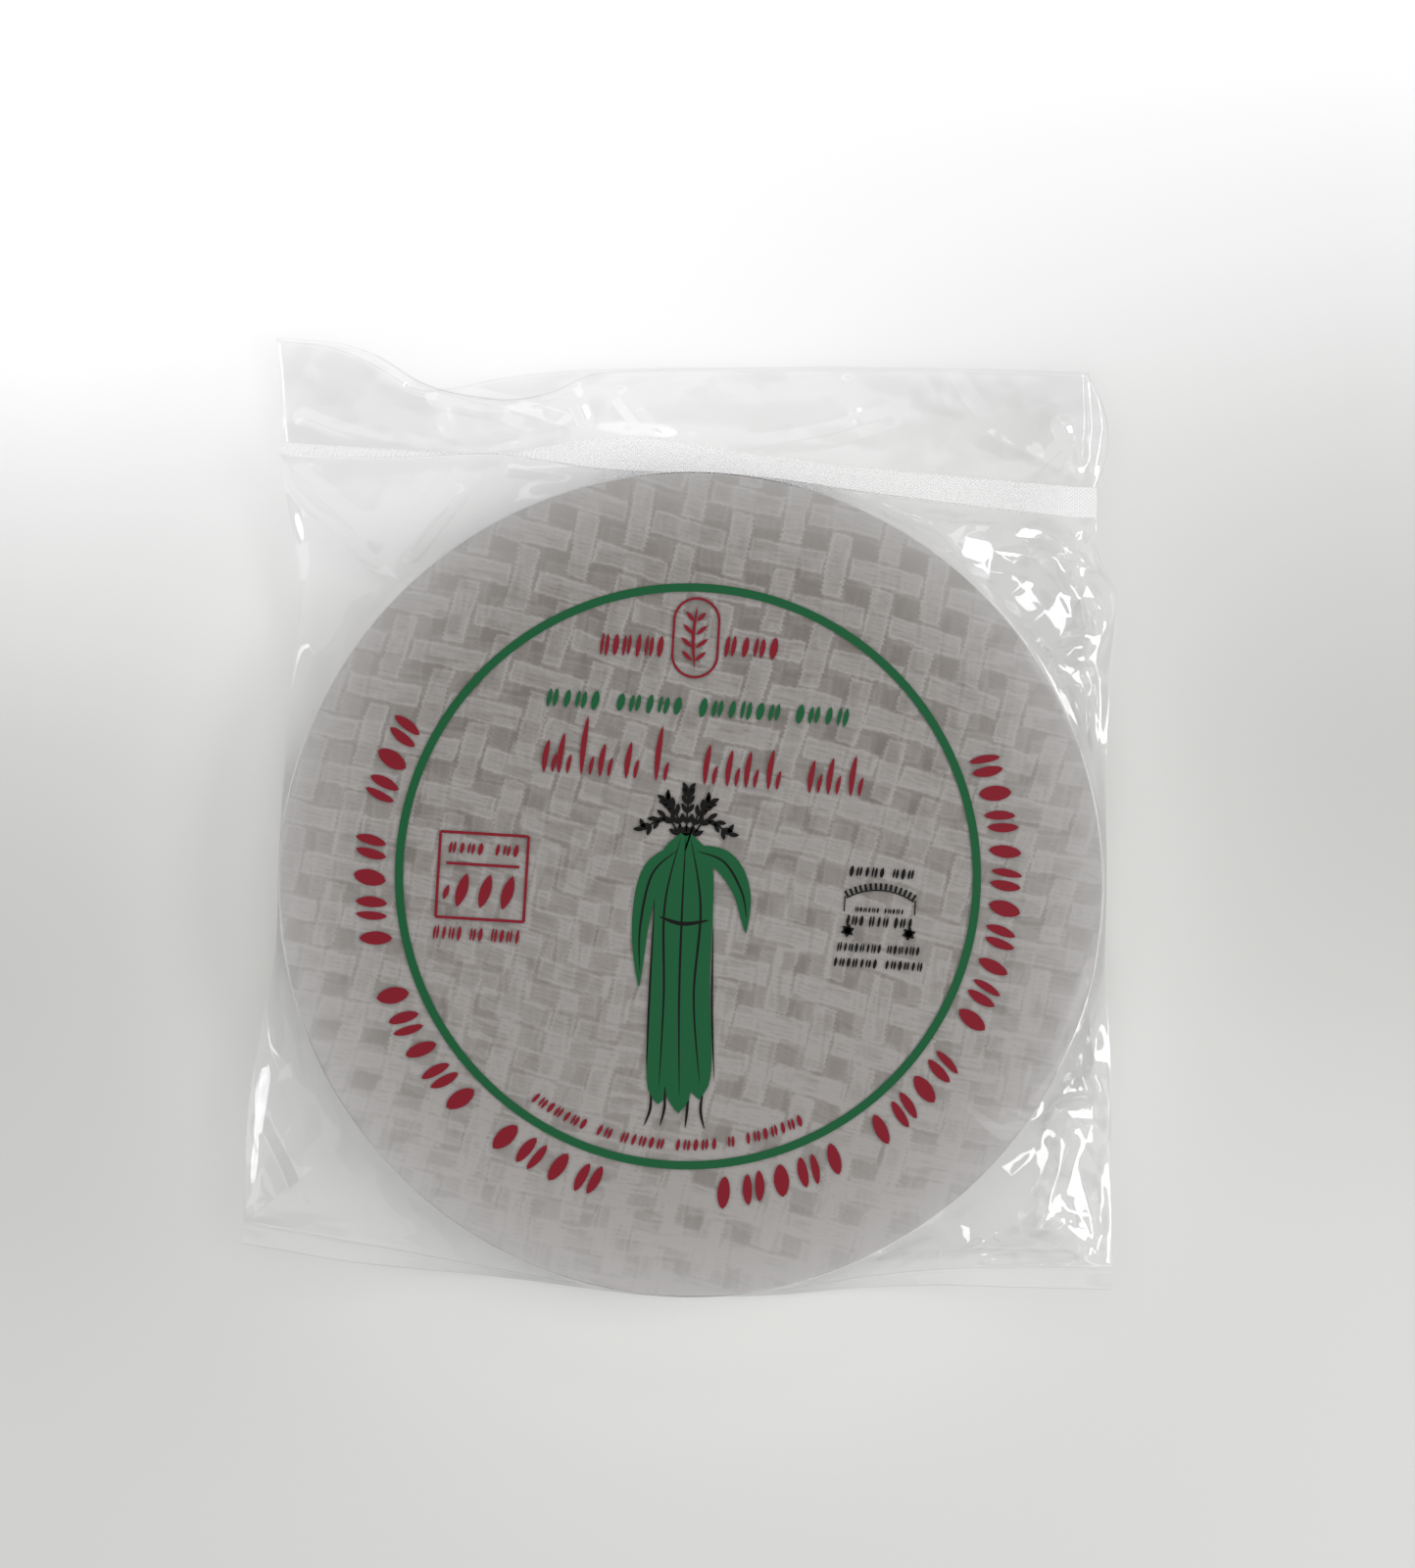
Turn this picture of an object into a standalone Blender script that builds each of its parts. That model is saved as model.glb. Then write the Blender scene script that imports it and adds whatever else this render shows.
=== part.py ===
"""A round stack of rice paper wrappers shut in a clear flat bag, lying on its back.

Metres, +Z up. The printed side faces +Z and the bag's open-ended header points along +Y.
The origin is the middle of the face that the stack rests on.

The bag is sealed all round, so it is one solid: flat over and under the stack, drawn down from the stack's
rim to a heat-sealed band above it and to thin welded edges at the sides and below. The header is the loose
length of film beyond the band.
"""

import math

import bmesh
import bpy

# The stack inside the bag
STACK_RADIUS = 0.110
STACK_HEIGHT = 0.018
FILM_OVER_STACK = 0.0003
RIM_ROUNDING = 0.0016

# The bag's edges
EDGE_THICKNESS = 0.0014
EDGE_HEIGHT = 0.0075
HEADER_END_HEIGHT = 0.0050
BAND_MIDDLE = 0.1130
BAND_ENDS = 0.1095
HEADER_LENGTH = 0.0290
POINTS_A_SIDE = 28
FLAP_RINGS = 8
FLAP_CURVE = 1.35

# The outline's corners and the few points where its sides bend, from the header's left corner round
HEADER_LEFT = (-0.1198, 0.1390)
HEADER_RIGHT = (0.0972, 0.1433)
FOOT_RIGHT = (0.1202, -0.1026)
FOOT_LEFT = (-0.1150, -0.1026)
HEADER_EDGE = [HEADER_LEFT, (-0.0930, 0.1370), (-0.0640, 0.1282), (-0.0400, 0.1345), (0.0400, 0.1412), HEADER_RIGHT]
RIGHT_EDGE = [HEADER_RIGHT, (0.1027, 0.1095), (0.1055, 0.0950), (0.1110, 0.0750), (0.1130, 0.0), (0.1155, -0.0450), FOOT_RIGHT]
FOOT_EDGE = [FOOT_RIGHT, (0.0600, -0.1095), (0.0, -0.1125), (-0.0600, -0.1095), FOOT_LEFT]
LEFT_EDGE = [FOOT_LEFT, (-0.1155, -0.0720), (-0.1130, -0.0350), (-0.1128, 0.0), (-0.1122, 0.0600), (-0.1180, 0.1106), HEADER_LEFT]

FILM_COLOUR = (0.86, 0.86, 0.87, 1.0)


def clear_scene():
    for old in list(bpy.data.objects):
        bpy.data.objects.remove(old)


def curve_through(points, count):
    """count points of a smooth curve that starts at the first point and stops short of the last."""
    ends = [points[0], *points, points[-1]]
    spans = len(points) - 1
    found = []
    for step in range(count):
        place = step * spans / count
        span = int(place)
        t = place - span
        before, start, stop, after = ends[span : span + 4]
        found.append(tuple(
            0.5 * (2 * start[k] + (stop[k] - before[k]) * t
                   + (2 * before[k] - 5 * start[k] + 4 * stop[k] - after[k]) * t * t
                   + (3 * start[k] - before[k] - 3 * stop[k] + after[k]) * t ** 3)
            for k in (0, 1)
        ))
    return found


def bag_outline():
    """The bag's edge seen from above, clockwise from the header's left corner."""
    sides = (HEADER_EDGE, RIGHT_EDGE, FOOT_EDGE, LEFT_EDGE)
    return [point for side in sides for point in curve_through(side, POINTS_A_SIDE)]


def band_line(x):
    """How far up the page the sealed band runs at x: it bows out over the stack's rim."""
    share = min(1.0, abs(x) / STACK_RADIUS)
    return BAND_ENDS + (BAND_MIDDLE - BAND_ENDS) * (1 - share * share)


def middle_height(y):
    """Height of the film's edges: level along the sides, with the header sagging beyond the band."""
    beyond = max(0.0, y - BAND_ENDS) / HEADER_LENGTH
    return EDGE_HEIGHT - (EDGE_HEIGHT - HEADER_END_HEIGHT) * min(1.0, beyond) ** 2


def flap_share(rim, edge, point):
    """0 at the stack's rim and 1 where the two films meet, at the sealed band or at the bag's edge."""
    reach = math.dist(rim, edge)
    band = band_line(edge[0])
    if edge[1] > band > rim[1]:
        reach *= (band - rim[1]) / (edge[1] - rim[1])
    return min(1.0, math.dist(rim, point) / max(reach, 1e-6))


def film_height(side, share, y):
    """Height of the front (side 1) or back (side -1) film on the flap between the rim and the bag's edge."""
    middle = middle_height(y)
    met = middle + side * EDGE_THICKNESS / 2
    rim = STACK_HEIGHT + 2 * FILM_OVER_STACK - RIM_ROUNDING if side > 0 else RIM_ROUNDING
    return met + (rim - met) * (1 - share) ** FLAP_CURVE


def film_rings(side, outline):
    """Rings of points from the flat face out to the bag's edge, each ring one point for each outline point."""
    face = STACK_HEIGHT + 2 * FILM_OVER_STACK if side > 0 else 0.0
    rings = [[], []]
    rims = []
    for x, y in outline:
        reach = math.hypot(x, y)
        unit = (x / reach, y / reach)
        inner = STACK_RADIUS - RIM_ROUNDING
        shoulder = STACK_RADIUS - RIM_ROUNDING * (1 - math.sin(math.pi / 4))
        drop = RIM_ROUNDING * (1 - math.cos(math.pi / 4))
        rings[0].append((unit[0] * inner, unit[1] * inner, face))
        rings[1].append((unit[0] * shoulder, unit[1] * shoulder, face - side * drop))
        rims.append((unit[0] * STACK_RADIUS, unit[1] * STACK_RADIUS))
    for step in range(FLAP_RINGS + 1):
        along = (step / FLAP_RINGS) ** 1.4
        ring = []
        for rim, edge in zip(rims, outline):
            point = (rim[0] + (edge[0] - rim[0]) * along, rim[1] + (edge[1] - rim[1]) * along)
            ring.append((*point, film_height(side, flap_share(rim, edge, point), point[1])))
        rings.append(ring)
    return rings


def add_film(shape, side, outline):
    """Caps the flat face and extrudes it outwards ring by ring. Returns the edges of the last ring."""
    rings = film_rings(side, outline)
    corners = [shape.verts.new(place) for place in rings[0]]
    face = shape.faces.new(corners)
    ring_edges = list(face.edges)
    for ring in rings[1:]:
        place_of = {corner: place for place, corner in enumerate(corners)}
        made = bmesh.ops.extrude_edge_only(shape, edges=ring_edges)["geom"]
        grown = [item for item in made if isinstance(item, bmesh.types.BMVert)]
        for vert in grown:
            inner = next(e.other_vert(vert) for e in vert.link_edges if e.other_vert(vert) in place_of)
            corners[place_of[inner]] = vert
        for corner, point in zip(corners, ring):
            corner.co = point
        ring_edges = [item for item in made if isinstance(item, bmesh.types.BMEdge) and
                      all(vert in grown for vert in item.verts)]
    return ring_edges


def film_material():
    material = bpy.data.materials.new("clear_film")
    material.use_nodes = True
    shader = material.node_tree.nodes["Principled BSDF"]
    shader.inputs["Base Color"].default_value = FILM_COLOUR
    shader.inputs["Roughness"].default_value = 0.12
    shader.inputs["Metallic"].default_value = 0.0
    return material


def build_bag():
    outline = bag_outline()
    shape = bmesh.new()
    front_edge = add_film(shape, 1, outline)
    back_edge = add_film(shape, -1, outline)
    bmesh.ops.bridge_loops(shape, edges=front_edge + back_edge)
    bmesh.ops.triangulate(shape, faces=[face for face in shape.faces if len(face.verts) > 4])
    bmesh.ops.recalc_face_normals(shape, faces=shape.faces)
    mesh = bpy.data.meshes.new("bag")
    shape.to_mesh(mesh)
    shape.free()
    mesh.shade_smooth()
    mesh.set_sharp_from_angle(angle=math.radians(40))
    mesh.materials.append(film_material())
    bag = bpy.data.objects.new("bag", mesh)
    bpy.context.scene.collection.objects.link(bag)
    return bag


clear_scene()
build_bag()
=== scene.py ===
# %% [markdown]
# # Rice paper wrappers in a clear bag
#
# Forty round sheets of dried rice paper lie in a flat bag of clear film, closed above the stack by a
# knurled heat seal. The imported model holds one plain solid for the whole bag. Here that solid is hidden,
# and the film, the sheets and the print that it stands for are modelled inside the same space, lying on
# their back.
#
# Every size is in millimetres while a shape is being worked out, and is turned to metres when it becomes a
# mesh.

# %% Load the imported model
import math
import random

import bmesh
import bpy
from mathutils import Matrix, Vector, noise


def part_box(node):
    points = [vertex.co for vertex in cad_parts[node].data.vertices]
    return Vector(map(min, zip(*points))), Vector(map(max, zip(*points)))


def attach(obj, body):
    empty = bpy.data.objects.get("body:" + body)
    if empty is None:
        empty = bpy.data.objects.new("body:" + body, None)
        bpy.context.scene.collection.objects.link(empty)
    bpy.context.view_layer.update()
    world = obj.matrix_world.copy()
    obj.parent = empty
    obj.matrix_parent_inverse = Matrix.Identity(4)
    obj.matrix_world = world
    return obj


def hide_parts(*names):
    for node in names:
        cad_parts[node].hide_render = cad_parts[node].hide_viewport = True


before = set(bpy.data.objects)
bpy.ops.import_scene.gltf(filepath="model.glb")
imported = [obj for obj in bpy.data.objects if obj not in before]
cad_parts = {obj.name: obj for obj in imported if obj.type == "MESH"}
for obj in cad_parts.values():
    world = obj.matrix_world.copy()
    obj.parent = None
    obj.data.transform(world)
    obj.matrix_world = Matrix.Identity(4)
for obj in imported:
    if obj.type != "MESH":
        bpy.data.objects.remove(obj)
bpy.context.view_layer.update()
MM = 0.001
bag_low, bag_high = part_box("bag")
print("bag solid", [round(side / MM) for side in bag_high - bag_low], "mm")

# %% [markdown]
# ## The measures that everything follows
#
# The stack is the ruler: 22 cm sheets, 18 mm high. The bag's film lies a third of a millimetre off it,
# which is where the solid's top and bottom are.

# %% Driving sizes
STACK_RADIUS = 110.0
FILM_GAP = 0.3
STACK_TOP = bag_high.z / MM - FILM_GAP
STACK_FOOT = bag_low.z / MM + FILM_GAP
SHEETS = 40
SHEET_PITCH = (STACK_TOP - STACK_FOOT) / SHEETS
print("sheet pitch", round(SHEET_PITCH, 3), "mm")

# %% [markdown]
# ## Camera
#
# The bag is seen square on, so the camera hangs over it and looks straight down. The bag lies a few degrees
# askew in the picture, which is a roll of the camera and not a turn of the part. An 85 mm lens from a metre
# keeps the near and far films almost the same size, as in a product picture.

# %% Camera over the bag
VIEW_CENTRE = (2.8, 27.0)
VIEW_HEIGHT = 418.0
VIEW_DISTANCE = 1000.0
VIEW_ROLL = math.radians(3.5)
SENSOR = 36.0

camera = bpy.data.objects.new("camera", bpy.data.cameras.new("camera"))
bpy.context.scene.collection.objects.link(camera)
camera.location = (VIEW_CENTRE[0] * MM, VIEW_CENTRE[1] * MM, (STACK_TOP + VIEW_DISTANCE) * MM)
camera.rotation_euler = (0, 0, VIEW_ROLL)
camera.data.sensor_width = SENSOR
camera.data.lens = SENSOR * VIEW_DISTANCE / VIEW_HEIGHT
bpy.context.scene.camera = camera
print("lens", round(camera.data.lens, 1), "mm")

# %% [markdown]
# ## Small helpers
#
# Colours are written as they look on a screen, from 0 to 255, and turned to the linear values that Blender
# works in. Node trees are easier to read when one short call makes a node, fills its sockets and links it.

# %% Colour and node helpers
def screen_colour(red, green, blue):
    """A colour as seen on a screen, 0 to 255, as a linear RGBA."""
    shares = [channel / 255 for channel in (red, green, blue)]
    return (*[c / 12.92 if c <= 0.04045 else ((c + 0.055) / 1.055) ** 2.4 for c in shares], 1.0)


def add_node(tree, kind, inputs=None, **settings):
    """Makes a node, sets its options, and fills each named or numbered input with a value or a link."""
    node = tree.nodes.new(kind)
    for option, value in settings.items():
        setattr(node, option, value)
    for socket, value in (inputs or {}).items():
        if isinstance(value, bpy.types.NodeSocket):
            tree.links.new(value, node.inputs[socket])
        else:
            node.inputs[socket].default_value = value
    return node


def maths(tree, operation, *values, clamp=False):
    """One Math node; gives its output."""
    node = add_node(tree, "ShaderNodeMath", dict(enumerate(values)), operation=operation, use_clamp=clamp)
    return node.outputs[0]


def blend_colours(tree, share, first, second, mode="MIX"):
    """A Mix node for colours; gives its output."""
    node = tree.nodes.new("ShaderNodeMix")
    node.data_type = "RGBA"
    node.blend_type = mode
    for socket, value in ((0, share), (6, first), (7, second)):
        if isinstance(value, bpy.types.NodeSocket):
            tree.links.new(value, node.inputs[socket])
        else:
            node.inputs[socket].default_value = value
    return node.outputs[2]


def new_material(name):
    """An empty node material and its Principled shader, already joined to the output."""
    material = bpy.data.materials.new(name)
    material.use_nodes = True
    return material, material.node_tree, material.node_tree.nodes["Principled BSDF"]


# %% Piece helpers
def add_piece(name, shape, material, smooth=True):
    """Turns a finished bmesh into a piece that rides with the bag."""
    mesh = bpy.data.meshes.new(name)
    shape.to_mesh(mesh)
    shape.free()
    if smooth:
        mesh.shade_smooth()
    else:
        mesh.shade_flat()
    mesh.materials.append(material)
    piece = bpy.data.objects.new(name, mesh)
    bpy.context.scene.collection.objects.link(piece)
    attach(piece, "root")
    print(name, len(mesh.polygons), "faces")
    return piece


def lay_grid(shape, across, along, place):
    """A grid of faces whose every corner is moved to place(s, t), with s and t running from 0 to 1."""
    corners = bmesh.ops.create_grid(shape, x_segments=across, y_segments=along, size=0.5)["verts"]
    for corner in corners:
        corner.co = Vector(place(corner.co.x + 0.5, corner.co.y + 0.5)) * MM
    return corners


def curve_point(points, share):
    """A point, by its share of the way, on the smooth curve through a few chosen points."""
    place = min(max(share, 0.0), 0.999999) * (len(points) - 1)
    span = int(place)
    t = place - span
    ends = [points[0], *points, points[-1]]
    before, start, stop, after = (Vector(point) for point in ends[span : span + 4])
    return 0.5 * (2 * start + (stop - before) * t + (2 * before - 5 * start + 4 * stop - after) * t * t
                  + (3 * start - before - 3 * stop + after) * t ** 3)


def follow(pairs, x):
    """The value at x of a smooth curve through (x, value) pairs, level beyond both ends."""
    if x <= pairs[0][0]:
        return pairs[0][1]
    if x >= pairs[-1][0]:
        return pairs[-1][1]
    span = next(number for number in range(len(pairs) - 1) if x <= pairs[number + 1][0])
    before, (x0, low), (x1, high), after = (pairs[max(0, span - 1)], pairs[span], pairs[span + 1],
                                            pairs[min(len(pairs) - 1, span + 2)])
    rise_in = (high - before[1]) / (x1 - before[0]) * (x1 - x0)
    rise_out = (after[1] - low) / (after[0] - x0) * (x1 - x0)
    t = (x - x0) / (x1 - x0)
    return (low + (3 * t * t - 2 * t ** 3) * (high - low) + (t ** 3 - 2 * t * t + t) * rise_in
            + (t ** 3 - t * t) * rise_out)


def ease(low, high, x):
    """0 below low, 1 above high, and a smooth step between."""
    t = min(1.0, max(0.0, (x - low) / (high - low)))
    return t * t * (3 - 2 * t)


# %% [markdown]
# ## Floor and light
#
# The bag lies on a white sweep. Its fade to grey towards the viewer is painted light fall-off in the floor's
# colour, two ramps down the picture mixed from left to right, so that the lamps stay plain and even; close
# round the stack the floor is painted paler still, a painted fill light that cancels most of the stack's
# shade on it. The sky dome is dim straight overhead, where the face of the bag mirrors it, and softboxes
# stand low round the bag: crumpled film shows itself only by what it mirrors. The largest panel, on the
# right, is there only to be mirrored.

# %% Sweep
SWEEP_HALF = 1500.0
SWEEP_SPAN = 430.0
# Painted light fall-off: the floor's grey level down the picture, at its left side and at its right side.
FALLOFF_PAINT_LEFT = [(0.00, 205), (0.06, 205), (0.16, 201), (0.22, 198), (0.34, 193), (0.41, 193), (0.47, 197),
              (0.53, 202),
              (0.59, 214), (0.66, 225), (0.72, 239), (0.78, 252), (0.84, 255)]
FALLOFF_PAINT_RIGHT = [(0.00, 209), (0.22, 208), (0.34, 198), (0.41, 193), (0.47, 191), (0.53, 190), (0.59, 194),
               (0.66, 201),
               (0.72, 208), (0.78, 218), (0.84, 227), (0.91, 235), (0.97, 243), (1.00, 247)]
# Painted light: how much paler the floor is painted close round the stack, and over what reach, to cancel the
# stack's shade.
SHADE_FILL_PAINT = 0.50
SHADE_FILL_REACH = 24.0


def sweep_ramp(tree, stops, share):
    ramp = add_node(tree, "ShaderNodeValToRGB", {0: share})
    ramp.color_ramp.interpolation = "B_SPLINE"
    elements = ramp.color_ramp.elements
    elements[1].position = stops[-1][0]
    for place, level in stops[1:-1]:
        elements.new(place)
    for element, (place, level) in zip(elements, stops):
        element.color = screen_colour(level, level, level - (2 if level < 215 else 0))
    return ramp.outputs[0]


def build_sweep():
    material, tree, shader = new_material("sweep_paper")
    place = add_node(tree, "ShaderNodeTexCoord").outputs["Object"]
    turned = add_node(tree, "ShaderNodeMapping", {
        "Vector": place, "Location": (VIEW_CENTRE[0] * MM, VIEW_CENTRE[1] * MM, 0),
        "Rotation": (0, 0, VIEW_ROLL)}, vector_type="TEXTURE")
    axes = add_node(tree, "ShaderNodeSeparateXYZ", {0: turned.outputs[0]})
    up = maths(tree, "MULTIPLY_ADD", axes.outputs["Y"], 1 / (SWEEP_SPAN * MM), 0.5, clamp=True)
    across = maths(tree, "MULTIPLY_ADD", axes.outputs["X"], 1 / (350 * MM), 0.5, clamp=True)
    colour = blend_colours(tree, across, sweep_ramp(tree, FALLOFF_PAINT_LEFT, up), sweep_ramp(tree, FALLOFF_PAINT_RIGHT, up))
    # Painted fill light: the floor's colour is raised near the stack's rim and fades out over the reach.
    radius = add_node(tree, "ShaderNodeVectorMath", {0: place}, operation="LENGTH").outputs["Value"]
    away = maths(tree, "MULTIPLY_ADD", radius, -1 / (SHADE_FILL_REACH * MM), STACK_RADIUS / SHADE_FILL_REACH)
    lift = maths(tree, "MULTIPLY_ADD", maths(tree, "EXPONENT", away), SHADE_FILL_PAINT, 1.0)
    colour = add_node(tree, "ShaderNodeVectorMath", {0: colour, "Scale": lift}, operation="SCALE").outputs[0]
    colour = add_node(tree, "ShaderNodeVectorMath", {0: colour, 1: (1, 1, 1)}, operation="MINIMUM").outputs[0]
    tree.links.new(colour, shader.inputs["Base Color"])
    shader.inputs["Roughness"].default_value = 0.9
    shader.inputs["Specular IOR Level"].default_value = 0.0
    shape = bmesh.new()
    lay_grid(shape, 8, 8, lambda s, t: ((s - 0.5) * 2 * SWEEP_HALF, (t - 0.5) * 2 * SWEEP_HALF,
                                        bag_low.z / MM - 0.15))
    mesh = bpy.data.meshes.new("sweep")
    shape.to_mesh(mesh)
    shape.free()
    mesh.materials.append(material)
    floor = bpy.data.objects.new("sweep", mesh)
    bpy.context.scene.collection.objects.link(floor)


build_sweep()

# %% Sky dome and lamps
def build_sky():
    world = bpy.data.worlds.new("studio")
    bpy.context.scene.world = world
    world.use_nodes = True
    tree = world.node_tree
    background = tree.nodes["Background"]
    direction = add_node(tree, "ShaderNodeTexCoord").outputs["Generated"]
    height = add_node(tree, "ShaderNodeSeparateXYZ", {0: direction}).outputs["Z"]
    ramp = add_node(tree, "ShaderNodeValToRGB", {0: height})
    ramp.color_ramp.elements[0].position = 0.925
    ramp.color_ramp.elements[0].color = (0.96, 0.96, 0.96, 1)
    ramp.color_ramp.elements[1].position = 0.985
    ramp.color_ramp.elements[1].color = (0.03, 0.03, 0.03, 1)
    seen = add_node(tree, "ShaderNodeLightPath").outputs["Is Camera Ray"]
    tree.links.new(blend_colours(tree, seen, ramp.outputs[0], (0.9, 0.9, 0.9, 1)), background.inputs["Color"])
    background.inputs["Strength"].default_value = 1.0


def add_softbox(name, azimuth, elevation, distance, size, radiance):
    """A white area lamp that faces the bag, as bright as the radiance asked for whatever its size."""
    lamp = bpy.data.lights.new(name, "AREA")
    lamp.shape = "RECTANGLE"
    lamp.size, lamp.size_y = size
    lamp.energy = radiance * math.pi * size[0] * size[1]
    flat = math.cos(math.radians(elevation))
    towards = Vector((math.cos(math.radians(azimuth)) * flat, math.sin(math.radians(azimuth)) * flat,
                      math.sin(math.radians(elevation))))
    holder = bpy.data.objects.new(name, lamp)
    holder.location = towards * distance
    holder.rotation_euler = towards.to_track_quat("Z", "Y").to_euler()
    bpy.context.scene.collection.objects.link(holder)
    return holder


build_sky()
add_softbox("softbox_right", 2, 36, 1.3, (0.8, 0.36), 4.6)
add_softbox("softbox_back", 90, 32, 1.6, (1.2, 0.3), 2.0)
add_softbox("softbox_left", 190, 55, 1.6, (0.6, 0.6), 1.0)
glint_panel = add_softbox("glint_panel", 8, 37, 1.25, (1.3, 0.62), 7.0)
glint_panel.visible_diffuse = False
bpy.context.scene.view_settings.view_transform = "Standard"
bpy.context.scene.cycles.transparent_max_bounces = 32

# %% [markdown]
# ## The woven imprint
#
# Rice batter is steamed and dried on trays of split bamboo, woven openly: a strip shows where it passes
# over the strips that cross it, and there it presses a long pale bar into the sheet. So the imprint is a
# plain weave with gaps: bars both ways, each centred on every second crossing, darker film-thin paper
# between them.
#
# The same sum is written twice, once in Python for the relief of the top and bottom sheets, and once as a
# node group for their colour, so that the pale bars lie exactly on the raised ones.

# %% Weave measures and the relief
UPRIGHT_SPACING = 13.5
LEVEL_SPACING = 12.3
STRIP_WIDTH = 5.9
CONTACT_RUN = -1.4
WEAVE_TURN = math.radians(11.2)
WEAVE_START = (-37.9, 91.5)
WANDER = 0.9
IMPRINT_DEPTH = 0.07
RUNG_SPACING = 1.25


def weave_axes(x, y):
    """Where a point lies along the level and the upright strips, which wander a little."""
    u = x * math.cos(WEAVE_TURN) - y * math.sin(WEAVE_TURN) - WEAVE_START[0]
    v = x * math.sin(WEAVE_TURN) + y * math.cos(WEAVE_TURN) - WEAVE_START[1]
    return u + WANDER * math.sin(v / 17.0), v + WANDER * math.sin(u / 14.0)


def bar_depth(across, along, spacing, crossing, shift):
    """How far inside a pale bar a point lies, in mm; negative in the gaps."""
    strip = round(across / spacing)
    start = crossing * (abs(strip) % 2 if shift else 1 - abs(strip) % 2)
    reach = (along - start + crossing) % (2 * crossing) - crossing
    half_run = crossing - STRIP_WIDTH / 2 + CONTACT_RUN / 2
    return min(STRIP_WIDTH / 2 - abs(across - strip * spacing), half_run - abs(reach))


def imprint(x, y):
    """Relief of the imprint, 0 in the gaps and 1 on the bars."""
    u, v = weave_axes(x, y)
    depth = max(bar_depth(u, v, UPRIGHT_SPACING, LEVEL_SPACING, True),
                bar_depth(v, u, LEVEL_SPACING, UPRIGHT_SPACING, False))
    return ease(-0.5, 0.6, depth)


# %% The imprint as a node group
def group_bar(tree, across, along, spacing, crossing, shift, notch=None):
    strip = maths(tree, "ROUND", maths(tree, "DIVIDE", across, spacing))
    odd = maths(tree, "FLOORED_MODULO", strip, 2.0)
    start = maths(tree, "MULTIPLY_ADD", odd, crossing if shift else -crossing, 0.0 if shift else crossing)
    reach = maths(tree, "WRAP", maths(tree, "SUBTRACT", along, start), crossing, -crossing)
    aside = maths(tree, "ABSOLUTE", maths(tree, "SUBTRACT", across, maths(tree, "MULTIPLY", strip, spacing)))
    inside = maths(tree, "SUBTRACT", STRIP_WIDTH / 2 if notch is None else notch, aside)
    half_run = crossing - STRIP_WIDTH / 2 + CONTACT_RUN / 2
    return maths(tree, "MINIMUM", inside, maths(tree, "SUBTRACT", half_run, maths(tree, "ABSOLUTE", reach)))


def wander_axis(tree, axis, other, wave):
    swing = maths(tree, "SINE", maths(tree, "DIVIDE", other, wave))
    return maths(tree, "MULTIPLY_ADD", swing, WANDER, axis)


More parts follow.
